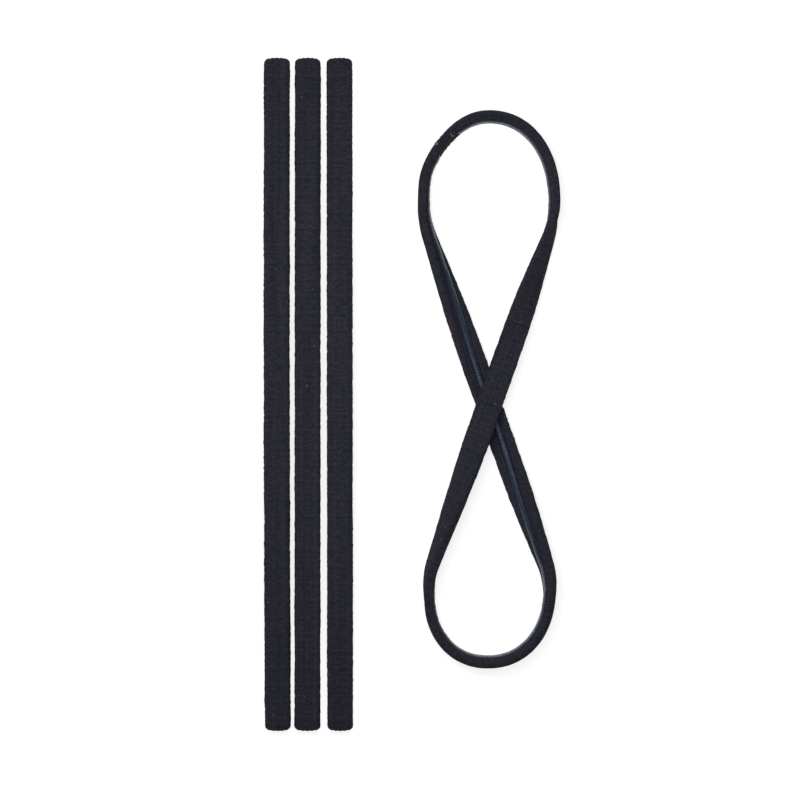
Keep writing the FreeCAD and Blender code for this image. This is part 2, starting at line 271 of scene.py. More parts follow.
# --- the strip -----------------------------------------------------------------------------------
class Strip:
    """A whole band unrolled: even rows from the under tongue's cut end to the over tongue's."""

    def __init__(self, name, seed, near, far, lap, near_forwards):
        self.name = name
        self.noise = random.Random(seed)
        first = TRACE_PITCH / 2
        pieces = [far.points(np.arange(lap - LAP_LENGTH / 2, far.length, TRACE_PITCH))]
        near_s = np.arange(first, near.length, TRACE_PITCH)
        pieces.append(near.points(near_s if near_forwards else near_s[::-1]))
        pieces.append(far.points(np.arange(first, lap + LAP_LENGTH / 2 + first, TRACE_PITCH)))
        self.centres = np.concatenate([p[0] for p in pieces])
        self.outwards = np.concatenate([p[1] for p in pieces])
        steps = np.linalg.norm(np.diff(self.centres, axis=0), axis=1)
        self.t = np.concatenate([[0], np.cumsum(steps)])
        self.length = self.t[-1]

    def sample(self, t):
        """Frames at distances t: centre, along, outwards and across, each one row per distance."""
        def at(values, distances):
            return np.stack([np.interp(distances, self.t, values[:, k]) for k in range(3)], axis=1)

        centre = at(self.centres, t)
        along = unit(at(self.centres, t + DIRECTION_REACH) - at(self.centres, t - DIRECTION_REACH))
        outwards = at(self.outwards, t)
        outwards = unit(outwards - along * np.sum(outwards * along, axis=1, keepdims=True))
        return centre, along, outwards, np.cross(outwards, along)

    def press(self, t):
        """Share of full thickness and outward shift, which change only at the two tongues.

        Each ramp starts a little way in under the other tongue's cut end, so that the joint stays closed.
        """
        under = smooth_step((t - LAP_LENGTH + LAP_TUCK) / LAP_RAMP)
        over = smooth_step((self.length - t - LAP_LENGTH + LAP_TUCK) / LAP_RAMP)
        pressed = 1 - (1 - LAP_PRESSED) * (2 - under - over)
        return pressed, LAP_SHIFT * (under - over)


WAVE_SPREAD = 1.2


def waves(noise, count, shortest, longest):
    """A smooth random function of one or two distances in mm, about -1 to 1.

    It adds up waves that run within WAVE_SPREAD radians of the first distance's direction.
    """
    terms = []
    for _ in range(count):
        pitch = shortest * (longest / shortest) ** noise.random()
        angle = noise.uniform(-WAVE_SPREAD, WAVE_SPREAD)
        terms.append((2 * math.pi / pitch, angle, noise.uniform(0, 2 * math.pi)))

    def value(t, v=0.0):
        total = 0.0
        for rate, angle, phase in terms:
            total = total + np.sin(rate * (t * math.cos(angle) + v * math.sin(angle)) + phase)
        return total / math.sqrt(count)

    return value


def stadium(width, thickness, flat_columns, arc_columns, squareness=2.0):
    """Round-edged flat section: across and outward positions, their normals and the length round it.

    It starts in the middle of the inner face, and squareness above 2 makes the edges less round.
    """
    straight = np.linspace(-1, 1, flat_columns, endpoint=False) + 1 / flat_columns
    bend = (np.arange(arc_columns) + 0.5) / arc_columns * math.pi - math.pi / 2
    one = np.ones_like(straight)
    half = (width - thickness) / 2
    radius = thickness / 2
    power = 2 / squareness
    reach = half + radius * np.cos(bend) ** power
    rise = radius * np.sign(bend) * np.abs(np.sin(bend)) ** power
    a = np.concatenate([-straight * half, -reach, straight * half, reach])
    b = np.concatenate([one * radius, rise[::-1], -one * radius, rise])
    middle = -(flat_columns + arc_columns + flat_columns // 2)
    a, b = np.roll(a, middle), np.roll(b, middle)
    da = np.roll(a, -1) - np.roll(a, 1)
    db = np.roll(b, -1) - np.roll(b, 1)
    size = np.hypot(da, db)
    ring = np.hypot(np.roll(a, -1) - a, np.roll(b, -1) - b)
    return a, b, db / size, -da / size, np.concatenate([[0], np.cumsum(ring)])


def place(rows, a, b):
    """Points at section positions a (across) and b (outwards), one row for each frame."""
    centre, _, outwards, across = rows
    return centre[:, None] + across[:, None] * a[..., None] + outwards[:, None] * b[..., None]


# --- meshes --------------------------------------------------------------------------------------
def make_object(name, points, faces, material, uvs):
    """A smooth-shaded object from points in mm, faces and one weave coordinate for each face corner."""
    mesh = bpy.data.meshes.new(name)
    mesh.from_pydata((np.asarray(points) * MM).tolist(), [], faces)
    mesh.polygons.foreach_set("use_smooth", [True] * len(mesh.polygons))
    layer = mesh.uv_layers.new(name="weave")
    layer.data.foreach_set("uv", np.asarray(uvs, np.float32).ravel())
    mesh.materials.append(material)
    mesh.update()
    obj = bpy.data.objects.new(name, mesh)
    bpy.context.scene.collection.objects.link(obj)
    return obj


def grid(points, t, ring):
    """A closed tube through rows of points, with its faces, end caps and weave coordinates."""
    rows, columns = points.shape[:2]
    i, j = np.meshgrid(np.arange(rows - 1), np.arange(columns), indexing="ij")
    k = (j + 1) % columns
    corners = [(i, j), (i + 1, j), (i + 1, k), (i, k)]
    faces = np.stack([r * columns + c for r, c in corners], axis=-1).reshape(-1, 4)
    ring_at = [ring[j], ring[j], ring[j + 1], ring[j + 1]]
    t_at = [t[i], t[i + 1], t[i + 1], t[i]]
    uvs = np.stack([np.stack(t_at, axis=-1), np.stack(ring_at, axis=-1)], axis=-1).reshape(-1, 2)
    caps = [list(range(columns)), list(range(rows * columns - 1, (rows - 1) * columns - 1, -1))]
    cap_uvs = np.zeros((2 * columns, 2))
    return points.reshape(-1, 3), faces.tolist() + caps, np.concatenate([uvs, cap_uvs])


class MeshParts:
    """Gathers tubes into one mesh."""

    def __init__(self):
        self.points = []
        self.faces = []
        self.uvs = []
        self.count = 0

    def add(self, points, faces, uvs):
        self.points.append(points)
        self.faces += [[v + self.count for v in face] for face in faces]
        self.uvs.append(uvs)
        self.count += len(points)

    def build(self, name, material):
        return make_object(name, np.concatenate(self.points), self.faces, material,
                           np.concatenate(self.uvs))


THREAD_SIDES = 6
THREAD_END_SIZE = 0.6
THREAD_WEAVE_PITCH = 0.2
SKEW_AXIS = np.array([0.31, 0.52, 0.79])


def thread(path, radius, sides=THREAD_SIDES):
    """A round thread along a short line of points."""
    path = np.asarray(path, float)
    along = unit(np.gradient(path, axis=0))
    side = unit(np.cross(along, unit(SKEW_AXIS)))
    up = np.cross(along, side)
    angles = np.arange(sides) / sides * 2 * math.pi
    ring = np.cos(angles)[:, None] * side[:, None] + np.sin(angles)[:, None] * up[:, None]
    taper = np.ones(len(path))
    taper[[0, -1]] = THREAD_END_SIZE
    points = path[:, None] + ring * (radius * taper)[:, None, None]
    t = np.arange(len(path)) * THREAD_WEAVE_PITCH
    return grid(points, t, np.arange(sides + 1) * radius)


# --- sheath --------------------------------------------------------------------------------------
RIB_HEIGHT = 0.08
KNOB_PITCHES = (6.3, 3.15, 2.1)
KNOB_HEIGHT = 0.042
KNOB_DRIFT = 0.9
KNOB_VARIATION = 0.4
RIGHT_KNOB_PHASE = 0.8
LUMP_HEIGHT = 0.05
LUMP_FACE_SHARE = 0.4
EDGE_FULLNESS = 0.05
EDGE_SQUARENESS = 3.0
WIDTH_WANDER = 0.06
HOLLOW_DEPTH = 0.35
HOLLOW_HALF_WIDTH = 3.3
HOLLOW_SLOPE = 1.4
INNER_FACE = -0.5
FOLD_CROWN = 0.7
FOLD_CROWN_REACH = 7.0
FOLD_CROWN_POWER = 2.4


def knobs(noise, extra_phase):
    """Height of the knobbly selvedge at distances along the band, which repeats with the knit."""
    phases = [noise.uniform(0, 2 * math.pi) + extra_phase for _ in KNOB_PITCHES]
    size = waves(noise, 8, 5.0, 40.0)
    shift = waves(noise, 5, 15.0, 60.0)

    def height(t):
        total = 0.0
        for pitch, phase in zip(KNOB_PITCHES, phases):
            total = total + np.cos(2 * math.pi * t / pitch + phase + KNOB_DRIFT * shift(t))
        return KNOB_HEIGHT * total / math.sqrt(len(KNOB_PITCHES)) * (1 + KNOB_VARIATION * size(t))

    return height


def grip_share(strip, t):
    """1 where the silicone strip runs, 0 at the lap, with a slope 2 mm long round each of its ends."""
    from_start = t - GRIP_FROM_END
    from_end = strip.length - t - GRIP_FROM_END
    return smooth_step((from_start + 1) / 2) * smooth_step((from_end + 1) / 2)


def crown_folds(points, a, fold_ends):
    """Draws the selvedges in at both folds, so that each fold's end is a shallow crown."""
    for end, sign in zip(fold_ends, (-1, 1)):
        near_fold = smooth_step(1 - np.abs(points[..., 1] - end) / FOLD_CROWN_REACH)
        points[..., 1] -= sign * FOLD_CROWN * near_fold * np.abs(a / (WIDTH / 2)) ** FOLD_CROWN_POWER


def turned_in_lip(strip, ends):
    """Rows of the sheath's inner section at two distances near a cut end."""
    ends = np.array(ends)
    inner_a, inner_b = stadium(CAVITY_WIDTH, CAVITY_THICKNESS, FLAT_COLUMNS, ARC_COLUMNS)[:2]
    pressed, shift = strip.press(ends)
    b_at = inner_b * pressed[:, None] + shift[:, None]
    return place(strip.sample(ends), inner_a + 0 * b_at, b_at)


def sheath(strip, material, fold_ends=None):
    """The knitted tube: ribs over the cords, knobbly selvedges and a lip turned in at each cut end."""
    lumps = waves(strip.noise, 14, 1.2, 9.0)
    wander = waves(strip.noise, 6, 9.0, 60.0)
    left_knobs = knobs(strip.noise, 0.0)
    right_knobs = knobs(strip.noise, RIGHT_KNOB_PHASE)
    count = round(strip.length / ROW_PITCH)
    t = np.linspace(0, strip.length, count + 1)
    rows = strip.sample(t)
    pressed, shift = strip.press(t)
    a, b, na, nb, ring = stadium(WIDTH, THICKNESS, FLAT_COLUMNS, ARC_COLUMNS, EDGE_SQUARENESS)
    edge = na ** 2
    rib = RIB_HEIGHT * np.cos(2 * math.pi * a / CORD_PITCH) * nb ** 2
    knob = np.where(a < 0, left_knobs(t)[:, None], right_knobs(t)[:, None])
    lump = LUMP_HEIGHT * lumps(t[:, None], ring[:-1][None])
    lump_share = LUMP_FACE_SHARE + (1 - LUMP_FACE_SHARE) * edge
    rise = rib + (knob + EDGE_FULLNESS) * edge + lump * lump_share
    hollow = HOLLOW_DEPTH * smooth_step((HOLLOW_HALF_WIDTH - np.abs(a)) / HOLLOW_SLOPE) * (nb < INNER_FACE)
    hollow = hollow * grip_share(strip, t)[:, None]
    widen = WIDTH_WANDER * wander(t)[:, None] * a / (WIDTH / 2)
    a_at = a + widen + rise * na
    b_at = (b + rise * nb + hollow) * pressed[:, None] + shift[:, None]
    points = place(rows, a_at, b_at)
    if fold_ends is not None:
        crown_folds(points, a, fold_ends)
    first_lip = turned_in_lip(strip, (LIP_DEPTH, 0.0))
    last_lip = turned_in_lip(strip, (strip.length, strip.length - LIP_DEPTH))
    points = np.concatenate([first_lip, points, last_lip])
    t = np.concatenate([[-LIP_DEPTH, 0], t, [strip.length, strip.length + LIP_DEPTH]])
    points, faces, uvs = grid(points, t, ring)
    return make_object(strip.name + "_sheath", points, faces, material, uvs)


CORD_END_PROUD = (-0.25, 0.12)


def cords(strip, material):
    """The rubber cords inside the sheath, cut roughly level with it."""
    parts = MeshParts()
    for i in range(CORD_COUNT):
        sideways = (i - (CORD_COUNT - 1) / 2) * CORD_PITCH
        ends = [strip.noise.uniform(*CORD_END_PROUD) for _ in range(2)]
        t = np.linspace(0, strip.length, round(strip.length / CORD_ROW_PITCH))
        rows = [values.copy() for values in strip.sample(t)]
        rows[0][0] -= rows[1][0] * ends[0]
        rows[0][-1] += rows[1][-1] * ends[1]
        pressed, shift = strip.press(t)
        a, b, _, _, ring = stadium(CORD_WIDTH, CORD_THICKNESS, CORD_FLAT_COLUMNS, CORD_ARC_COLUMNS)
        b_at = b * pressed[:, None] + shift[:, None]
        parts.add(*grid(place(rows, sideways + a + 0 * b_at, b_at), t, ring))
    return parts.build(strip.name + "_cords", material)


# --- grip strip ----------------------------------------------------------------------------------
GRIP_EDGE_HEIGHT = 0.08
GRIP_BEAD_HEIGHT = 0.72
GRIP_FREE_BEAD_HEIGHT = 0.92
GRIP_BEAD_HALF_WIDTH = 1.3
GRIP_EDGE_SLOPE = 0.2
GRIP_END_TAPER = 1.2
GRIP_SWELL = 0.1
GRIP_DRIFT = 0.12
GRIP_COLUMNS = 31
GRIP_DEPTH = 0.1
STANDING_TURN = 0.6


def grip(strip, material, bead_height):
    """The silicone strip in its hollow on the inner face: thin edges and a raised round bead.

    Its attribute "standing" is 1 where the band stands on edge and 0 where it lies flatter.
    """
    drift = waves(strip.noise, 4, 20.0, 80.0)
    swell = waves(strip.noise, 6, 1.5, 8.0)
    start, end = GRIP_FROM_END, strip.length - GRIP_FROM_END
    t = np.linspace(start, end, round((end - start) / GRIP_ROW_PITCH))
    across = np.linspace(-1, 1, GRIP_COLUMNS) * GRIP_WIDTH / 2
    bead = np.sqrt(np.clip(1 - (across / GRIP_BEAD_HALF_WIDTH) ** 2, 0, 1))
    edge = smooth_step((GRIP_WIDTH / 2 - np.abs(across)) / GRIP_EDGE_SLOPE)
    taper = np.sqrt(np.clip(np.minimum(t - start, end - t) / GRIP_END_TAPER, 0, 1))[:, None]
    size = 1 + GRIP_SWELL * swell(t)[:, None]
    height = GRIP_EDGE_HEIGHT * edge + bead * (bead_height - GRIP_EDGE_HEIGHT) * taper * size
    floor = THICKNESS / 2 - HOLLOW_DEPTH + RIB_HEIGHT
    top = -(floor + height)
    under = GRIP_DEPTH - floor + 0 * top
    a_at = np.concatenate([across, across[::-1]])[None] + GRIP_DRIFT * drift(t)[:, None]
    b_at = np.concatenate([top, under], axis=1)
    ring = np.concatenate([across, across[::-1], across[:1]])
    rows = strip.sample(t)
    points, faces, uvs = grid(place(rows, a_at, b_at), t, ring)
    faces = [face[::-1] for face in faces]
    obj = make_object(strip.name + "_grip", points, faces, material, uvs)
    # where this is near 1, the grip material paints a glint on the bead's flanks
    standing = smooth_step((STANDING_TURN - np.abs(rows[2][:, 2])) / STANDING_TURN)
    layer = obj.data.attributes.new("standing", "FLOAT", "POINT")
    layer.data.foreach_set("value", np.repeat(standing, a_at.shape[1]).astype(np.float32))
    return obj


# --- lap -----------------------------------------------------------------------------------------
STITCH_ROWS = 3
STITCHES_PER_ROW = 9
STITCH_PITCH = 0.85
STITCH_LENGTH = 1.3
STITCH_SLANT = 0.2
STITCH_PULL = 0.45
STITCH_POINTS = 9
THREAD_RADIUS = 0.14


def lap_threads(strip, material):
    """Rows of stitches across the lap, seen on both faces, each pulled down into the fabric."""
    parts = MeshParts()
    for row in range(STITCH_ROWS):
        t = strip.length - LAP_LENGTH / 2 + (row - (STITCH_ROWS - 1) / 2) * LAP_LENGTH / STITCH_ROWS
        centre, along, outwards, across = [values[0] for values in strip.sample(np.array([t]))]
        for i in range(STITCHES_PER_ROW):
            sideways = (i - (STITCHES_PER_ROW - 1) / 2) * STITCH_PITCH
            for face in (1, -1):
                length = STITCH_LENGTH / 2 * strip.noise.uniform(0.85, 1.15)
                slant = STITCH_SLANT * face * strip.noise.uniform(0.5, 1.5)
                path = []
                for u in np.linspace(-1, 1, STITCH_POINTS):
                    rise = THICKNESS / 2 - STITCH_PULL * abs(u) ** 5
                    path.append(centre + across * (sideways + slant * u) + along * length * u
                                + outwards * face * rise)
                parts.add(*thread(path, THREAD_RADIUS))
    return parts.build(strip.name + "_lap_threads", material)


FRAY_COUNT = 60
EDGE_FRAY_SHARE = 0.5
FRAY_RADIUS = 0.085
FRAY_LENGTHS = (0.3, 1.0)
LINT_COUNT = 14
LINT_RADIUS = 0.06
LINT_LENGTHS = (0.4, 1.1)
LINT_FROM_END = 12
LINT_RISE = 0.12
YARN_POINTS = 5
YARN_SIDES = 5
YARN_ROOT_DEPTH = 0.2


def loose_yarn(noise, root, forwards, curl, length, radius):
    """A short curling yarn end that starts a little behind its root."""
    path = []
    for u in np.linspace(0, 1, YARN_POINTS):
        path.append(root + forwards * (length * u - YARN_ROOT_DEPTH) + curl * length * u * u)
    return thread(path, radius * noise.uniform(0.7, 1.3), YARN_SIDES)


def fray_cut(parts, strip, t, side):
    """Yarn ends out of the cut at distance t: side is 1 for the over tongue and -1 for the under one."""
    noise = strip.noise
    centre, along, outwards, across = [values[0] for values in strip.sample(np.array([t]))]
    for _ in range(FRAY_COUNT):
        sideways = noise.uniform(-1, 1) * (WIDTH / 2 - 0.3)
        if noise.random() < EDGE_FRAY_SHARE:
            sideways = noise.choice((-1, 1)) * (WIDTH / 2 - noise.uniform(-0.05, 0.5))
        face = side * noise.uniform(-0.4, 1.1)
        rise = side * LAP_SHIFT + face * THICKNESS * LAP_PRESSED / 2
        root = centre + across * sideways + outwards * rise
        curl = across * noise.uniform(-0.5, 0.5) + outwards * side * noise.uniform(-0.05, 0.4)
        length = noise.uniform(*FRAY_LENGTHS)
        parts.add(*loose_yarn(noise, root, along * side, curl, length, FRAY_RADIUS))


def add_lint(parts, strip):
    """A few bits of lint on the outer face, each lying in its own direction."""
    noise = strip.noise
    for _ in range(LINT_COUNT):
        t = np.array([noise.uniform(LINT_FROM_END, strip.length - LINT_FROM_END)])
        centre, along, outwards, across = [values[0] for values in strip.sample(t)]
        root = centre + across * noise.uniform(-4, 4) + outwards * (THICKNESS / 2 + LINT_RISE)
        heading = noise.uniform(0, 2 * math.pi)
        forwards = along * math.cos(heading) + across * math.sin(heading)
        sideways = across * math.cos(heading) - along * math.sin(heading)
        curl = sideways * noise.uniform(-0.6, 0.6)
        parts.add(*loose_yarn(noise, root, forwards, curl, noise.uniform(*LINT_LENGTHS), LINT_RADIUS))


def frayed_ends(strip, material):
    """Pale yarn ends that stick out of the two cuts of the lap, and the lint on the band."""
    parts = MeshParts()
    fray_cut(parts, strip, 0.0, -1)
    fray_cut(parts, strip, strip.length, 1)
    add_lint(parts, strip)
    return parts.build(strip.name + "_frayed_ends", material)


FUZZ_COUNT = 4200
FUZZ_WIDTH = 0.018
FUZZ_LENGTHS = (0.2, 0.65)
FUZZ_LIFTS = (0.1, 0.5)
FUZZ_EDGE_SHARE = 0.6
FUZZ_EDGE_TURN = 0.3


def fuzz(strip, material):
    """Fine loose fibres all over the sheath, more of them on its round edges."""
    noise = strip.noise
    a, b, na, nb, _ = stadium(WIDTH, THICKNESS, FLAT_COLUMNS, ARC_COLUMNS, EDGE_SQUARENESS)
    edge_columns = [j for j in range(len(a)) if abs(na[j]) > FUZZ_EDGE_TURN]
    t = np.array([noise.uniform(0.5, strip.length - 0.5) for _ in range(FUZZ_COUNT)])
    centre, along, outwards, across = strip.sample(t)
    pressed, shift = strip.press(t)
    points, faces = [], []
    for i in range(FUZZ_COUNT):
        at_edge = noise.random() < FUZZ_EDGE_SHARE
        j = noise.choice(edge_columns) if at_edge else noise.randrange(len(a))
        normal = across[i] * na[j] + outwards[i] * nb[j]
        root = centre[i] + across[i] * a[j] + outwards[i] * (b[j] * pressed[i] + shift[i])
        tangent = np.cross(normal, along[i])
        lie = along[i] * noise.uniform(-1, 1) + tangent * noise.uniform(-1, 1)
        length = noise.uniform(*FUZZ_LENGTHS)
        lift = noise.uniform(*FUZZ_LIFTS)
        width = np.cross(unit(lie), normal) * FUZZ_WIDTH / 2
        base = len(points)
        for u in (0.0, 0.35, 0.7):
            point = root + lie * length * u + normal * length * lift * math.sin(u * 2.2)
            points += [point - width, point + width]
        points.append(root + lie * length + normal * length * lift * 0.7)
        faces.append([base, base + 1, base + 3, base + 2])
        faces.append([base + 2, base + 3, base + 5, base + 4])
        faces.append([base + 4, base + 5, base + 6])
    uvs = np.zeros((sum(len(face) for face in faces), 2))
    return make_object(strip.name + "_fuzz", points, faces, material, uvs)


# --- materials -----------------------------------------------------------------------------------
class Nodes:
    """Short names for building a node material."""

    def __init__(self, name):
        self.material = bpy.data.materials.new(name)
        self.material.use_nodes = True
        self.tree = self.material.node_tree
        self.shader = self.tree.nodes["Principled BSDF"]

    def new(self, kind, **inputs):
        """A new node with these inputs set."""
        node = self.tree.nodes.new(kind)
        for name, value in inputs.items():
            self.set(node, name, value)
        return node

    def set(self, node, name, value):
        """Links an input to a socket, or gives it a value."""
        socket = node.inputs[name]
        if isinstance(value, bpy.types.NodeSocket):
            self.tree.links.new(value, socket)
        else:
            socket.default_value = value

    def math(self, operation, *values):
        node = self.tree.nodes.new("ShaderNodeMath")
        node.operation = operation
        for i, value in enumerate(values):
            self.set(node, i, value)
        return node.outputs[0]

    def noise(self, vector, scale, detail=2.0, roughness=0.5):
        node = self.new("ShaderNodeTexNoise", Vector=vector, Scale=scale, Detail=detail,
                        Roughness=roughness)
        return node.outputs["Fac"]

    def weave(self):
        """The weave coordinates: distance along the band and distance round its section, in mm."""
        node = self.new("ShaderNodeUVMap")
        node.uv_map = "weave"
        return node.outputs["UV"]

    def vector_math(self, operation, *values):
        node = self.tree.nodes.new("ShaderNodeVectorMath")
        node.operation = operation
        for i, value in enumerate(values):
            self.set(node, i, value)
        return node

    def ramp(self, factor, stops):
        """A colour that runs through stops of (position, colour)."""
        node = self.new("ShaderNodeValToRGB", Fac=factor)
        elements = node.color_ramp.elements
        while len(elements) < len(stops):
            elements.new(0.5)
        for element, (position, color) in zip(elements, stops):
            element.position = position
            element.color = (*color, 1)
        return node.outputs["Color"]

    def mix(self, factor, first, second, blend="MIX"):
        """Two colours mixed; each is a socket or three numbers."""
        node = self.tree.nodes.new("ShaderNodeMix")
        node.data_type = "RGBA"
        node.blend_type = blend
        self.set(node, "Factor", factor)
        for name, value in (("A", first), ("B", second)):
            socket = [s for s in node.inputs if s.name == name and s.type == "RGBA"][0]
            if isinstance(value, bpy.types.NodeSocket):
                self.tree.links.new(value, socket)
            else:
                socket.default_value = (*value, 1)
        return [s for s in node.outputs if s.type == "RGBA"][0]

    def bump(self, height, strength, distance, normal=None):
        node = self.new("ShaderNodeBump", Height=height, Strength=strength, Distance=distance)
        if normal is not None:
            self.set(node, "Normal", normal)
        return node.outputs["Normal"]


WALE_PITCH = 0.62
COURSE_PITCH = 0.5
COURSE_WEIGHTS = (0.2, 0.3, 0.35)
# colour of the knit's stitch hollows, darkened as painted shade; the next colour is the stitch tops
FABRIC_HOLLOW_SHADE = (0.0242, 0.0238, 0.0325)
FABRIC_LIGHT = (0.0755, 0.0745, 0.1015)
FABRIC_COOL = (0.84, 0.92, 0.97)
FABRIC_WARM = (1.0, 0.95, 1.0)
KNIT_RELIEF = 0.00012


def stitch_height(n, t, v, wobble):
    """Relief of a warp knit: columns of small V stitches, each column one wale."""
    wale = n.math("FRACT", n.math("DIVIDE", n.math("ADD", v, wobble), WALE_PITCH))
    from_middle = n.math("ABSOLUTE", n.math("SUBTRACT", wale, 0.5))
    leg = n.math("SINE", n.math("MULTIPLY", from_middle, 2 * math.pi))
    course = n.math("ADD", n.math("DIVIDE", t, COURSE_PITCH), n.math("MULTIPLY", from_middle, 1.1))
    course = n.math("ADD", course, n.math("MULTIPLY", wobble, 0.8))
    loop = n.math("SINE", n.math("MULTIPLY", course, 2 * math.pi))
    across = n.math("MULTIPLY_ADD", leg, 0.6, 0.4)
    return n.math("MULTIPLY", across, n.math("MULTIPLY_ADD", loop, 0.35, 0.65))


def course_bands(n, t, wobble):
    """Slow rise and fall along the band where the knit's courses bunch together."""
    total = None
    for pitch, weight in zip(KNOB_PITCHES, COURSE_WEIGHTS):
        phase = n.math("MULTIPLY_ADD", t, 2 * math.pi / pitch, n.math("MULTIPLY", wobble, 5.0))
        wave = n.math("MULTIPLY", n.math("SINE", phase), weight)
        total = wave if total is None else n.math("ADD", total, wave)
    return n.math("MULTIPLY_ADD", total, 0.5, 0.5)


def grey(value):
    """A grey colour."""
    return (value, value, value)


def knit_material(name, seed):
    """Fine warp knit in matt near-black yarn, mottled, with bunched courses and faint streaks, and painted
    shade in the hollows between its stitches.
    """
    n = Nodes(name)
    weave = n.weave()
    split = n.new("ShaderNodeSeparateXYZ", Vector=weave)
    t, v = split.outputs["X"], split.outputs["Y"]
    where = n.vector_math("ADD", weave, (seed * 37.0, seed * 11.0, 0.0)).outputs[0]
    along_yarn = n.vector_math("MULTIPLY", where, (1.2, 0.4, 1.0)).outputs[0]
    along_band = n.vector_math("MULTIPLY", where, (0.03, 1.0, 1.0)).outputs[0]
    wobble = n.math("MULTIPLY", n.math("SUBTRACT", n.noise(where, 0.9), 0.5), 0.5)
    height = stitch_height(n, t, v, wobble)
    bunch = course_bands(n, t, wobble)
    fibre = n.noise(where, 9.0, 3.0, 0.6)
    speck = n.noise(where, 1.5, 2.0, 0.6)
    dash = n.noise(along_yarn, 1.0, 2.0, 0.5)
    streak = n.noise(along_band, 0.5, 2.0, 0.5)
    patch = n.noise(where, 0.09, 3.0, 0.6)
    # The stitch hollows are painted darker than the stitch tops: painted shade in the knit's recesses.
    color = n.ramp(height, [(0.0, FABRIC_HOLLOW_SHADE), (0.8, FABRIC_LIGHT)])
    shades = ((speck, 0.3, 0.52), (dash, 0.3, 0.66), (bunch, 0.1, 0.82), (streak, 0.35, 0.79))
    for factor, low, darkest in shades:
        shade = n.ramp(factor, [(low, grey(darkest)), (1 - low, grey(1.0))])
        color = n.mix(1.0, color, shade, "MULTIPLY")
    tint = n.ramp(patch, [(0.35, FABRIC_COOL), (0.65, FABRIC_WARM)])
    n.set(n.shader, "Base Color", n.mix(1.0, color, tint, "MULTIPLY"))
    n.set(n.shader, "Roughness", 0.95)
    n.set(n.shader, "Specular IOR Level", 0.1)
    relief = n.math("ADD", height, n.math("MULTIPLY", fibre, 0.5))
    fine = n.bump(relief, 0.8, KNIT_RELIEF)
    n.set(n.shader, "Normal", n.bump(n.math("ADD", bunch, speck), 0.5, KNIT_RELIEF, fine))
    return n.material


def plain_material(name, color, roughness, specular, bump_scale, bump_depth, variation=0.25):
    """An even colour with slight variation and a fine grain."""
    n = Nodes(name)
    weave = n.weave()
    darker = tuple(c * (1 - variation) for c in color)
    patch = n.noise(weave, 0.7, 3.0)
    n.set(n.shader, "Base Color", n.ramp(patch, [(0.3, darker), (0.7, color)]))
    n.set(n.shader, "Roughness", roughness)
    n.set(n.shader, "Specular IOR Level", specular)
    n.set(n.shader, "Normal", n.bump(n.noise(weave, bump_scale, 3.0), 0.6, bump_depth))
    return n.material


GRIP_RIPPLE_PITCH = 0.9
GRIP_RIPPLE_DEPTH = 0.00012
GRIP_MARGIN = (0.013, 0.0145, 0.024)
GRIP_DARK = (0.014, 0.021, 0.040)
GRIP_LIGHT = (0.022, 0.032, 0.058)
GRIP_HAZE = (0.02, 0.024, 0.03)
# pale colour of the painted glint on the bead's flanks where the band stands on edge
GRIP_GLINT_PAINT = (0.2, 0.212, 0.25)
GRIP_SHINE = (0.66, 0.8, 1.0, 1)


def grip_material():
    """Dark blue silicone: a smooth bead rippled by the knit's courses, between dull thin margins.

    Where the band stands on edge, a row of pale dots on the ripples of the bead's flanks is a painted glint,
    the table's reflection at a grazing view.
    """
    n = Nodes("silicone grip")
    where = n.weave()
    split = n.new("ShaderNodeSeparateXYZ", Vector=where)
    t, v = split.outputs["X"], split.outputs["Y"]
    from_middle = n.math("DIVIDE", n.math("ABSOLUTE", v), GRIP_BEAD_HALF_WIDTH)
    crest = n.ramp(from_middle, [(0.45, grey(1)), (1.0, grey(0))])
    patch = n.noise(where, 0.35, 3.0)
    dust = n.noise(where, 2.4, 4.0, 0.7)
    bead = n.ramp(patch, [(0.3, GRIP_DARK), (0.7, GRIP_LIGHT)])
    haze = n.ramp(dust, [(0.5, grey(0)), (0.8, GRIP_HAZE)])
    color = n.mix(1.0, n.mix(crest, GRIP_MARGIN, bead), haze, "ADD")
    phase = n.math("MULTIPLY_ADD", t, 2 * math.pi / GRIP_RIPPLE_PITCH,
                   n.math("MULTIPLY", n.noise(where, 0.3), 9.0))
    wave = n.math("SINE", phase)
    standing = n.new("ShaderNodeAttribute")
    standing.attribute_name = "standing"
    # painted glint: pale dots along the ripples on the bead's flanks, only where the band stands on edge
    dots = n.ramp(n.math("MULTIPLY_ADD", wave, 0.5, 0.5), [(0.2, grey(0.2)), (0.8, grey(1))])
    domed = n.ramp(from_middle, [(0.8, grey(1)), (1.0, grey(0))])
    painted_glint = n.math("MULTIPLY", n.math("MULTIPLY", standing.outputs["Fac"], domed), dots)
    n.set(n.shader, "Base Color", n.mix(painted_glint, color, GRIP_GLINT_PAINT))
    dull = n.math("MULTIPLY_ADD", crest, -0.36, 0.62)
    n.set(n.shader, "Roughness", n.math("MULTIPLY_ADD", dust, 0.2, dull))
    n.set(n.shader, "Specular IOR Level", n.math("MULTIPLY_ADD", crest, 0.4, 0.1))
    n.set(n.shader, "Specular Tint", GRIP_SHINE)
    ripple = n.math("MULTIPLY", wave, n.noise(where, 0.8, 2.0))
    n.set(n.shader, "Normal", n.bump(ripple, 1.0, GRIP_RIPPLE_DEPTH))
    return n.material


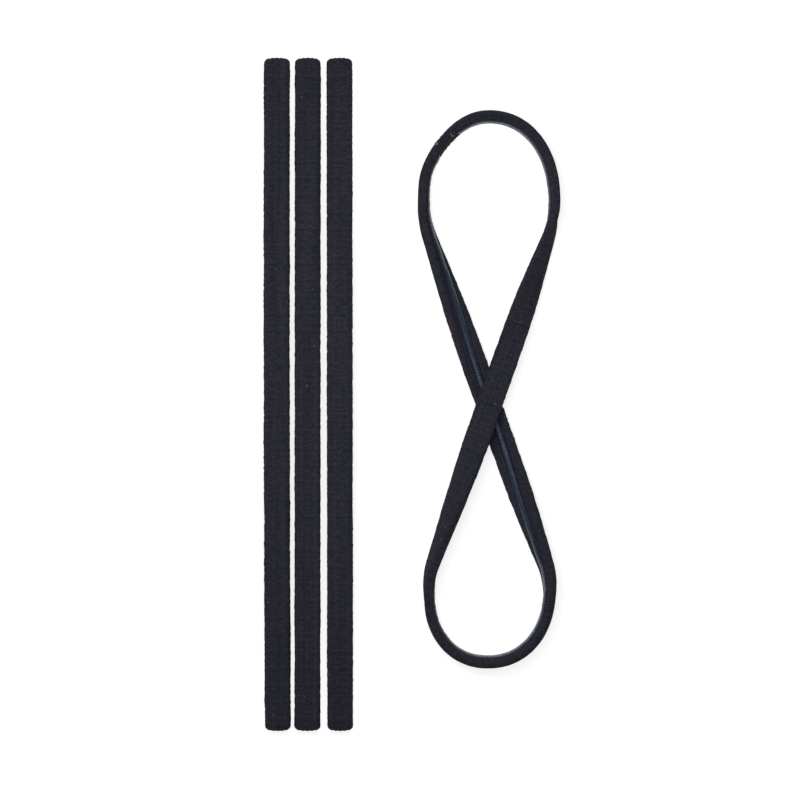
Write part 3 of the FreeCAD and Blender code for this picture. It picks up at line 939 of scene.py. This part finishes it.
def make_band(strip, knit, materials, bead_height, fold_ends=None):
    """All the visual pieces of one band; the CAD pieces they stand in for are hidden."""

    def stand_in(piece, *parts):
        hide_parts(*[strip.name + "_" + part for part in parts])

    body = sheath(strip, knit, fold_ends)
    stand_in(body, "sheath_near", "sheath_far_over", "sheath_far_under")
    core = cords(strip, materials["rubber"])
    stand_in(core, "cords_near", "cords_far")
    silicone = grip(strip, materials["silicone"], bead_height)
    stand_in(silicone, "grip_near", "grip_far")
    threads = lap_threads(strip, materials["thread"])
    stand_in(threads, "lap_stitches")
    pieces = [body, core, silicone, threads, frayed_ends(strip, materials["yarn_end"]),
              fuzz(strip, materials["fibre"])]
    for piece in pieces:
        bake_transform(piece)


def folded_band(name, seed, materials, bow=0.0):
    """A band folded flat, in line with its CAD pieces, with its middle bowed sideways by bow mm."""
    near_low, near_high = box_mm(name + "_sheath_near")
    far_low, far_high = box_mm(name + "_sheath_far_over")
    near_middle, far_middle = (near_low + near_high) / 2, (far_low + far_high) / 2
    x = (near_middle[0] + far_middle[0]) / 2
    slope = (far_middle[0] - near_middle[0]) / (far_middle[1] - near_middle[1])
    length = far_high[1] - near_low[1]

    def middle_line(y):
        return x + slope * y + bow * np.cos(math.pi * y / length)

    near, far = FoldedPath(middle_line, -1, length), FoldedPath(middle_line, 1, length)
    strip = Strip(name, seed, near, far, far.run + far.bend + FOLDED_LAP_FROM_FOLD, False)
    knit = knit_material("knit sheath " + name[-1], seed)
    ends = (near_low[1], far_high[1])
    make_band(strip, knit, materials, GRIP_BEAD_HEIGHT, ends)


def eight_band(name, seed, materials):
    """The band laid as a figure eight, with its crossing where the CAD pieces' boxes put it."""
    near_low, near_high = box_mm(name + "_sheath_near")
    over_low = box_mm(name + "_sheath_far_over")[0]
    near = EightPath(-1, NEAR_REACH, NEAR_HALF_WIDTH, NEAR_SQUARENESS, NEAR_LEAN,
                     NEAR_TILT_OVER, NEAR_TILT_UNDER)
    far = EightPath(1, FAR_REACH, FAR_HALF_WIDTH, FAR_SQUARENESS, FAR_LEAN, FAR_TILT_OVER, FAR_TILT_UNDER)
    far.dent = far.left_length(DENT_ANGLE)
    x = (near_low[0] + near_high[0]) / 2 - near.middle_x()
    y = (near_high[1] + over_low[1]) / 2
    near.origin = far.origin = np.array([x, y])
    strip = Strip(name, seed, near, far, far.left_length(EIGHT_LAP_ANGLE), True)
    knit = knit_material("knit sheath " + name[-1], seed)
    make_band(strip, knit, materials, GRIP_FREE_BEAD_HEIGHT)


# --- table, light and camera ---------------------------------------------------------------------
FLOOR_HALF_SIZE = 3.0
FLOOR_DROP = 0.0002
FLOOR_COLOR = (0.42, 0.42, 0.42, 1)
FLOOR_GLOW_NEAR = 0.74
FLOOR_GLOW_FAR = 1.0
FLOOR_GLOW_REACH = 0.2
WHITE = (1, 1, 1, 1)
WORLD_LIGHT = 0.17
WORLD_SEEN = 1.0


def make_floor():
    """A white table that glows a little, more so away from the middle, so that it stays evenly white."""
    mesh = bpy.data.meshes.new("table")
    signs = ((-1, -1), (1, -1), (1, 1), (-1, 1))
    corners = [(FLOOR_HALF_SIZE * x, FLOOR_HALF_SIZE * y, 0) for x, y in signs]
    mesh.from_pydata(corners, [], [(0, 1, 2, 3)])
    n = Nodes("white table")
    n.set(n.shader, "Base Color", FLOOR_COLOR)
    n.set(n.shader, "Roughness", 0.9)
    n.set(n.shader, "Specular IOR Level", 0.1)
    n.set(n.shader, "Emission Color", WHITE)
    where = n.new("ShaderNodeTexCoord").outputs["Object"]
    from_middle = n.vector_math("LENGTH", where).outputs["Value"]
    share = n.math("POWER", n.math("DIVIDE", from_middle, FLOOR_GLOW_REACH), 2.0)
    glow = n.math("MULTIPLY_ADD", share, FLOOR_GLOW_FAR - FLOOR_GLOW_NEAR, FLOOR_GLOW_NEAR)
    n.set(n.shader, "Emission Strength", n.math("MINIMUM", glow, FLOOR_GLOW_FAR))
    mesh.materials.append(n.material)
    floor = bpy.data.objects.new("table", mesh)
    bpy.context.scene.collection.objects.link(floor)
    floor.location = (0, 0, -FLOOR_DROP)


def area_light(name, location, size, power):
    """A round softbox that points at the origin and stays out of the picture."""
    light = bpy.data.lights.new(name, "AREA")
    light.shape = "DISK"
    light.size = size
    light.energy = power
    obj = bpy.data.objects.new(name, light)
    bpy.context.scene.collection.objects.link(obj)
    x, y, z = location
    obj.location = location
    obj.rotation_euler = (math.atan2(math.hypot(x, y), z), 0, math.atan2(x, -y))
    obj.visible_camera = False


def make_world():
    """An evenly lit studio that looks white to the camera but gives only a little light."""
    world = bpy.data.worlds.new("studio")
    world.use_nodes = True
    nodes, links = world.node_tree.nodes, world.node_tree.links
    background = nodes["Background"]
    background.inputs["Color"].default_value = WHITE
    rays = nodes.new("ShaderNodeLightPath")
    strength = nodes.new("ShaderNodeMapRange")
    strength.inputs["To Min"].default_value = WORLD_LIGHT
    strength.inputs["To Max"].default_value = WORLD_SEEN
    links.new(rays.outputs["Is Camera Ray"], strength.inputs["Value"])
    links.new(strength.outputs["Result"], background.inputs["Strength"])
    bpy.context.scene.world = world
    bpy.context.scene.view_settings.view_transform = "Standard"


def make_lights():
    """Three softboxes: place and size in metres, power in watts."""
    area_light("key softbox", (-0.5, 0.45, 0.75), 0.5, 2.2)
    area_light("fill softbox", (0.9, -0.2, 1.3), 0.9, 1.0)
    area_light("overhead softbox", (-0.02, 0.04, 0.29), 0.2, 0.47)


CAMERA_DISTANCE = 1.0
FRAME_WIDTH = 0.299
CAMERA_OFFSET = (-0.00448, -0.0021)


def make_camera():
    """Straight down, a little off the middle of the set."""
    low, high = CAD_BOUNDS
    camera = bpy.data.cameras.new("camera")
    camera.lens = camera.sensor_width * CAMERA_DISTANCE / FRAME_WIDTH
    obj = bpy.data.objects.new("camera", camera)
    bpy.context.scene.collection.objects.link(obj)
    middle = (low + high) / 2
    obj.location = (middle.x + CAMERA_OFFSET[0], middle.y + CAMERA_OFFSET[1], middle.z + CAMERA_DISTANCE)
    bpy.context.scene.camera = obj


def main():
    materials = {
        "rubber": plain_material("rubber cord", (0.42, 0.39, 0.34), 0.7, 0.3, 6.0, 0.00004),
        "silicone": grip_material(),
        "thread": plain_material("lap thread", (0.03, 0.03, 0.042), 0.7, 0.3, 12.0, 0.00005),
        "yarn_end": plain_material("frayed yarn", (0.68, 0.69, 0.72), 0.8, 0.2, 12.0, 0.00003, 0.8),
        "fibre": plain_material("loose fibre", (0.035, 0.035, 0.05), 0.8, 0.2, 12.0, 0.00001),
    }
    folded_band("band_1", 1, materials, BAND_1_BOW)
    folded_band("band_2", 2, materials)
    folded_band("band_3", 3, materials)
    eight_band("band_4", 4, materials)
    make_floor()
    make_lights()
    make_world()
    make_camera()


main()
